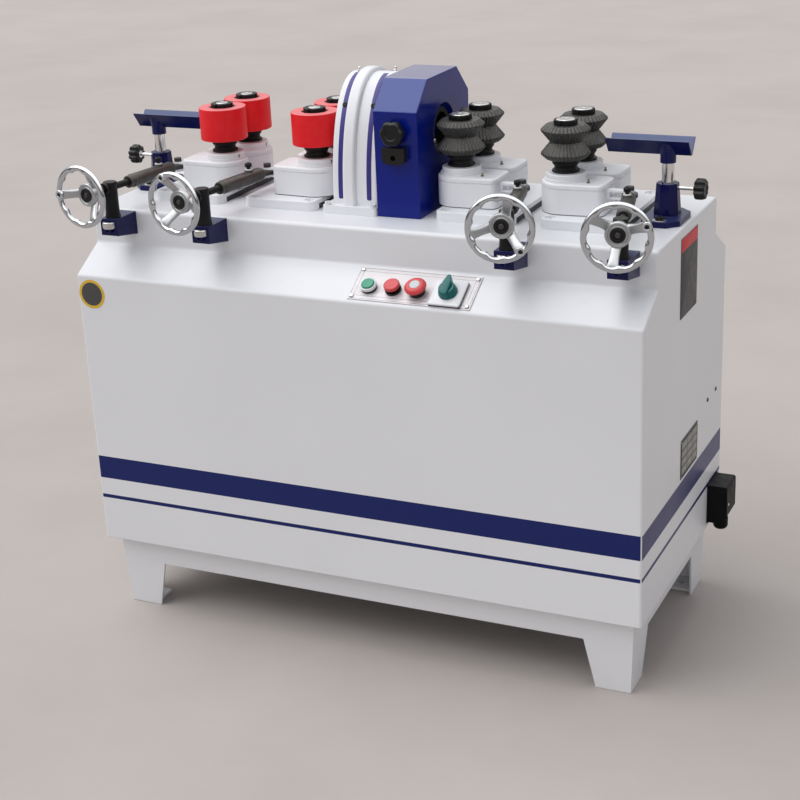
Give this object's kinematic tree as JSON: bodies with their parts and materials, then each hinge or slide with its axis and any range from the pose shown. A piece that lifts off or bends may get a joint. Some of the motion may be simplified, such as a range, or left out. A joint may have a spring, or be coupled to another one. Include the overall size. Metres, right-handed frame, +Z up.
{
  "type": "round stick making machine",
  "caption": "Floor-standing woodworking machine that rounds square strips into sticks: feed rollers set by handwheels, a hooded rotary cutter, work rests and a sheet-steel cabinet.",
  "frame": {"origin": "on the floor, at the middle of the anchor holes in the feet", "axes": "+X towards the infeed end, -Y towards the operator, +Z up"},
  "size_m": [1.194, 0.6075, 1.07],
  "materials": {
    "white": "gloss white enamel",
    "blue": "gloss ultramarine enamel",
    "dark_steel": "black oxide steel",
    "bright_steel": "ground steel",
    "motor_paint": "grey enamel",
    "belt": "black rubber",
    "plate": "satin anodised",
    "black_plastic": "black moulded",
    "green": "green moulded",
    "red": "red moulded",
    "teal": "blue-green moulded",
    "rest_metal": "gloss ultramarine enamel over a bright post",
    "wheel": "polished casting",
    "tube": "gunmetal finish",
    "tyre": "red cast rubber",
    "toothed": "black oxide steel",
    "box": "gloss white enamel"
  },
  "bodies": {
    "frame": {"base_frame": "white", "cabinet_shell": "white", "table_plate": "bright_steel", "shaft_hangers": "bright_steel", "rear_panel": "white", "headstock": "white", "spindle_bearings": "bright_steel", "infeed_bush": "dark_steel", "roller_base_plates": "white", "screw_brackets": "blue", "screw_posts": "dark_steel", "rest_stands": "blue", "main_motor": "motor_paint", "motor_shelf": "bright_steel", "drive_belts": "belt", "feed_gearmotor": "motor_paint", "control_plate": "plate", "switch_bodies": "black_plastic", "power_inlet": "black_plastic", "fasteners": "dark_steel"},
    "cutter_spindle": {"spindle": "bright_steel", "cutter_head": "bright_steel", "cutter_knives": "dark_steel", "spindle_pulley": "dark_steel"},
    "motor_rotor": {"motor_pulley": "dark_steel"},
    "feed_drive": {"feed_shaft": "dark_steel"},
    "hood": {"cutter_hood": "blue"},
    "hood_latch": {"hood_knob": "black_plastic"},
    "start": {"start_button": "green"},
    "stop": {"stop_button": "red"},
    "emergency": {"emergency_button": "red"},
    "selector": {"selector_knob": "teal"},
    "handwheel_outfeed_end": {"handwheel_outfeed_end": "wheel"},
    "tube_outfeed_end": {"spring_tube_outfeed_end": "tube"},
    "box_outfeed_end_front": {"swing_box_outfeed_end_front": "box"},
    "roller_outfeed_end_front": {"roller_outfeed_end_front": "tyre"},
    "box_outfeed_end_rear": {"swing_box_outfeed_end_rear": "box"},
    "roller_outfeed_end_rear": {"roller_outfeed_end_rear": "tyre"},
    "handwheel_outfeed_mid": {"handwheel_outfeed_mid": "wheel"},
    "tube_outfeed_mid": {"spring_tube_outfeed_mid": "tube"},
    "box_outfeed_mid_front": {"swing_box_outfeed_mid_front": "box"},
    "roller_outfeed_mid_front": {"roller_outfeed_mid_front": "tyre"},
    "box_outfeed_mid_rear": {"swing_box_outfeed_mid_rear": "box"},
    "roller_outfeed_mid_rear": {"roller_outfeed_mid_rear": "tyre"},
    "handwheel_infeed_mid": {"handwheel_infeed_mid": "wheel"},
    "tube_infeed_mid": {"spring_tube_infeed_mid": "tube"},
    "box_infeed_mid_front": {"swing_box_infeed_mid_front": "box"},
    "roller_infeed_mid_front": {"roller_infeed_mid_front": "toothed"},
    "box_infeed_mid_rear": {"swing_box_infeed_mid_rear": "box"},
    "roller_infeed_mid_rear": {"roller_infeed_mid_rear": "toothed"},
    "handwheel_infeed_end": {"handwheel_infeed_end": "wheel"},
    "tube_infeed_end": {"spring_tube_infeed_end": "tube"},
    "box_infeed_end_front": {"swing_box_infeed_end_front": "box"},
    "roller_infeed_end_front": {"roller_infeed_end_front": "toothed"},
    "box_infeed_end_rear": {"swing_box_infeed_end_rear": "box"},
    "roller_infeed_end_rear": {"roller_infeed_end_rear": "toothed"},
    "rest_outfeed": {"work_rest_outfeed": "rest_metal"},
    "clamp_outfeed": {"clamp_knob_outfeed": "black_plastic"},
    "rest_infeed": {"work_rest_infeed": "rest_metal"},
    "clamp_infeed": {"clamp_knob_infeed": "black_plastic"}
  },
  "joints": [
    {"name": "spindle_turn", "type": "hinge", "parent": "frame", "child": "cutter_spindle", "pos_m": [0, 0.01, 0.961], "axis": [1, 0, 0], "continuous": true},
    {"name": "motor_turn", "type": "hinge", "parent": "frame", "child": "motor_rotor", "pos_m": [0, 0.01, 0.43], "axis": [1, 0, 0], "continuous": true},
    {"name": "feed_turn", "type": "hinge", "parent": "frame", "child": "feed_drive", "pos_m": [0, 0.01, 0.72], "axis": [1, 0, 0], "continuous": true},
    {"name": "hood_swing", "type": "hinge", "parent": "frame", "child": "hood", "pos_m": [0.05, 0.1385, 0.89], "axis": [-1, 0, 0], "range_deg": [0, 80]},
    {"name": "hood_knob_turn", "type": "hinge", "parent": "hood", "child": "hood_latch", "pos_m": [0.0515, -0.1105, 0.977], "axis": [0, -1, 0], "range_deg": [0, 360]},
    {"name": "start_push", "type": "slide", "parent": "frame", "child": "start", "axis": [0, 0.5046, -0.8634], "range_m": [0, 0.0035], "stiffness_N_per_m": 800, "springref_m": -0.002},
    {"name": "stop_push", "type": "slide", "parent": "frame", "child": "stop", "axis": [0, 0.5046, -0.8634], "range_m": [0, 0.0035], "stiffness_N_per_m": 800, "springref_m": -0.002},
    {"name": "emergency_push", "type": "slide", "parent": "frame", "child": "emergency", "axis": [0, 0.5046, -0.8634], "range_m": [0, 0.0035]},
    {"name": "selector_turn", "type": "hinge", "parent": "frame", "child": "selector", "pos_m": [0.201, -0.2377, 0.72371], "axis": [0, -0.5046, 0.8634], "range_deg": [-45, 45]},
    {"name": "wheel_outfeed_end_turn", "type": "hinge", "parent": "frame", "child": "handwheel_outfeed_end", "pos_m": [-0.48041, -0.24, 0.874], "axis": [-0.1564, -0.9877, 0], "range_deg": [-270, 1760.86]},
    {"name": "tube_outfeed_end_slide", "type": "slide", "parent": "frame", "child": "tube_outfeed_end", "axis": [0.1564, 0.9877, 0], "range_m": [-0.0032, 0.01987]},
    {"name": "box_outfeed_end_front_swing", "type": "hinge", "parent": "frame", "child": "box_outfeed_end_front", "pos_m": [-0.391, -0.038, 0.865], "axis": [0, 0, -1], "range_deg": [-3.01, 19.1]},
    {"name": "roller_outfeed_end_front_turn", "type": "hinge", "parent": "box_outfeed_end_front", "child": "roller_outfeed_end_front", "pos_m": [-0.346, -0.038, 0.961], "axis": [0, 0, 1], "continuous": true},
    {"name": "box_outfeed_end_rear_swing", "type": "hinge", "parent": "frame", "child": "box_outfeed_end_rear", "pos_m": [-0.391, 0.058, 0.865], "axis": [0, 0, 1], "range_deg": [-3.01, 19.1]},
    {"name": "roller_outfeed_end_rear_turn", "type": "hinge", "parent": "box_outfeed_end_rear", "child": "roller_outfeed_end_rear", "pos_m": [-0.346, 0.058, 0.961], "axis": [0, 0, 1], "continuous": true},
    {"name": "wheel_outfeed_mid_turn", "type": "hinge", "parent": "frame", "child": "handwheel_outfeed_mid", "pos_m": [-0.28141, -0.24, 0.874], "axis": [-0.1564, -0.9877, 0], "range_deg": [-270, 1760.86]},
    {"name": "tube_outfeed_mid_slide", "type": "slide", "parent": "frame", "child": "tube_outfeed_mid", "axis": [0.1564, 0.9877, 0], "range_m": [-0.0032, 0.01987]},
    {"name": "box_outfeed_mid_front_swing", "type": "hinge", "parent": "frame", "child": "box_outfeed_mid_front", "pos_m": [-0.192, -0.038, 0.865], "axis": [0, 0, -1], "range_deg": [-3.01, 19.1]},
    {"name": "roller_outfeed_mid_front_turn", "type": "hinge", "parent": "box_outfeed_mid_front", "child": "roller_outfeed_mid_front", "pos_m": [-0.147, -0.038, 0.961], "axis": [0, 0, 1], "continuous": true},
    {"name": "box_outfeed_mid_rear_swing", "type": "hinge", "parent": "frame", "child": "box_outfeed_mid_rear", "pos_m": [-0.192, 0.058, 0.865], "axis": [0, 0, 1], "range_deg": [-3.01, 19.1]},
    {"name": "roller_outfeed_mid_rear_turn", "type": "hinge", "parent": "box_outfeed_mid_rear", "child": "roller_outfeed_mid_rear", "pos_m": [-0.147, 0.058, 0.961], "axis": [0, 0, 1], "continuous": true},
    {"name": "wheel_infeed_mid_turn", "type": "hinge", "parent": "frame", "child": "handwheel_infeed_mid", "pos_m": [0.31133, -0.24, 0.874], "axis": [0.225, -0.9744, 0], "range_deg": [-270, 2238.38]},
    {"name": "tube_infeed_mid_slide", "type": "slide", "parent": "frame", "child": "tube_infeed_mid", "axis": [-0.225, 0.9744, 0], "range_m": [-0.0032, 0.02517]},
    {"name": "box_infeed_mid_front_swing", "type": "hinge", "parent": "frame", "child": "box_infeed_mid_front", "pos_m": [0.192, -0.038, 0.865], "axis": [0, 0, 1], "range_deg": [-2.39, 19.1]},
    {"name": "roller_infeed_mid_front_turn", "type": "hinge", "parent": "box_infeed_mid_front", "child": "roller_infeed_mid_front", "pos_m": [0.147, -0.038, 0.961], "axis": [0, 0, 1], "continuous": true},
    {"name": "box_infeed_mid_rear_swing", "type": "hinge", "parent": "frame", "child": "box_infeed_mid_rear", "pos_m": [0.192, 0.058, 0.865], "axis": [0, 0, -1], "range_deg": [-2.39, 19.1]},
    {"name": "roller_infeed_mid_rear_turn", "type": "hinge", "parent": "box_infeed_mid_rear", "child": "roller_infeed_mid_rear", "pos_m": [0.147, 0.058, 0.961], "axis": [0, 0, 1], "continuous": true},
    {"name": "wheel_infeed_end_turn", "type": "hinge", "parent": "frame", "child": "handwheel_infeed_end", "pos_m": [0.51033, -0.24, 0.874], "axis": [0.225, -0.9744, 0], "range_deg": [-270, 2238.38]},
    {"name": "tube_infeed_end_slide", "type": "slide", "parent": "frame", "child": "tube_infeed_end", "axis": [-0.225, 0.9744, 0], "range_m": [-0.0032, 0.02517]},
    {"name": "box_infeed_end_front_swing", "type": "hinge", "parent": "frame", "child": "box_infeed_end_front", "pos_m": [0.391, -0.038, 0.865], "axis": [0, 0, 1], "range_deg": [-2.39, 19.1]},
    {"name": "roller_infeed_end_front_turn", "type": "hinge", "parent": "box_infeed_end_front", "child": "roller_infeed_end_front", "pos_m": [0.346, -0.038, 0.961], "axis": [0, 0, 1], "continuous": true},
    {"name": "box_infeed_end_rear_swing", "type": "hinge", "parent": "frame", "child": "box_infeed_end_rear", "pos_m": [0.391, 0.058, 0.865], "axis": [0, 0, -1], "range_deg": [-2.39, 19.1]},
    {"name": "roller_infeed_end_rear_turn", "type": "hinge", "parent": "box_infeed_end_rear", "child": "roller_infeed_end_rear", "pos_m": [0.346, 0.058, 0.961], "axis": [0, 0, 1], "continuous": true},
    {"name": "rest_outfeed_slide", "type": "slide", "parent": "frame", "child": "rest_outfeed", "axis": [0, 0, 1], "range_m": [-0.015, 0.025]},
    {"name": "clamp_outfeed_turn", "type": "hinge", "parent": "frame", "child": "clamp_outfeed", "pos_m": [-0.525, 0.01, 0.8775], "axis": [-1, 0, 0], "range_deg": [0, 360]},
    {"name": "rest_infeed_slide", "type": "slide", "parent": "frame", "child": "rest_infeed", "axis": [0, 0, 1], "range_m": [-0.015, 0.025]},
    {"name": "clamp_infeed_turn", "type": "hinge", "parent": "frame", "child": "clamp_infeed", "pos_m": [0.517, 0.01, 0.8775], "axis": [1, 0, 0], "range_deg": [0, 360]}
  ],
  "couplings": [
    {"joint": "motor_turn", "follows": "spindle_turn", "ratio": 1},
    {"joint": "tube_outfeed_end_slide", "follows": "wheel_outfeed_end_turn", "m_per_rad": 0.00063662},
    {"joint": "box_outfeed_end_front_swing", "follows": "wheel_outfeed_end_turn", "ratio": 0.01079},
    {"joint": "roller_outfeed_end_front_turn", "follows": "feed_turn", "ratio": 0.1},
    {"joint": "box_outfeed_end_rear_swing", "follows": "wheel_outfeed_end_turn", "ratio": 0.01079},
    {"joint": "roller_outfeed_end_rear_turn", "follows": "feed_turn", "ratio": -0.1},
    {"joint": "tube_outfeed_mid_slide", "follows": "wheel_outfeed_mid_turn", "m_per_rad": 0.00063662},
    {"joint": "box_outfeed_mid_front_swing", "follows": "wheel_outfeed_mid_turn", "ratio": 0.01079},
    {"joint": "roller_outfeed_mid_front_turn", "follows": "feed_turn", "ratio": 0.1},
    {"joint": "box_outfeed_mid_rear_swing", "follows": "wheel_outfeed_mid_turn", "ratio": 0.01079},
    {"joint": "roller_outfeed_mid_rear_turn", "follows": "feed_turn", "ratio": -0.1},
    {"joint": "tube_infeed_mid_slide", "follows": "wheel_infeed_mid_turn", "m_per_rad": 0.00063662},
    {"joint": "box_infeed_mid_front_swing", "follows": "wheel_infeed_mid_turn", "ratio": 0.0084883},
    {"joint": "roller_infeed_mid_front_turn", "follows": "feed_turn", "ratio": 0.1},
    {"joint": "box_infeed_mid_rear_swing", "follows": "wheel_infeed_mid_turn", "ratio": 0.0084883},
    {"joint": "roller_infeed_mid_rear_turn", "follows": "feed_turn", "ratio": -0.1},
    {"joint": "tube_infeed_end_slide", "follows": "wheel_infeed_end_turn", "m_per_rad": 0.00063662},
    {"joint": "box_infeed_end_front_swing", "follows": "wheel_infeed_end_turn", "ratio": 0.0084883},
    {"joint": "roller_infeed_end_front_turn", "follows": "feed_turn", "ratio": 0.1},
    {"joint": "box_infeed_end_rear_swing", "follows": "wheel_infeed_end_turn", "ratio": 0.0084883},
    {"joint": "roller_infeed_end_rear_turn", "follows": "feed_turn", "ratio": -0.1}
  ]
}
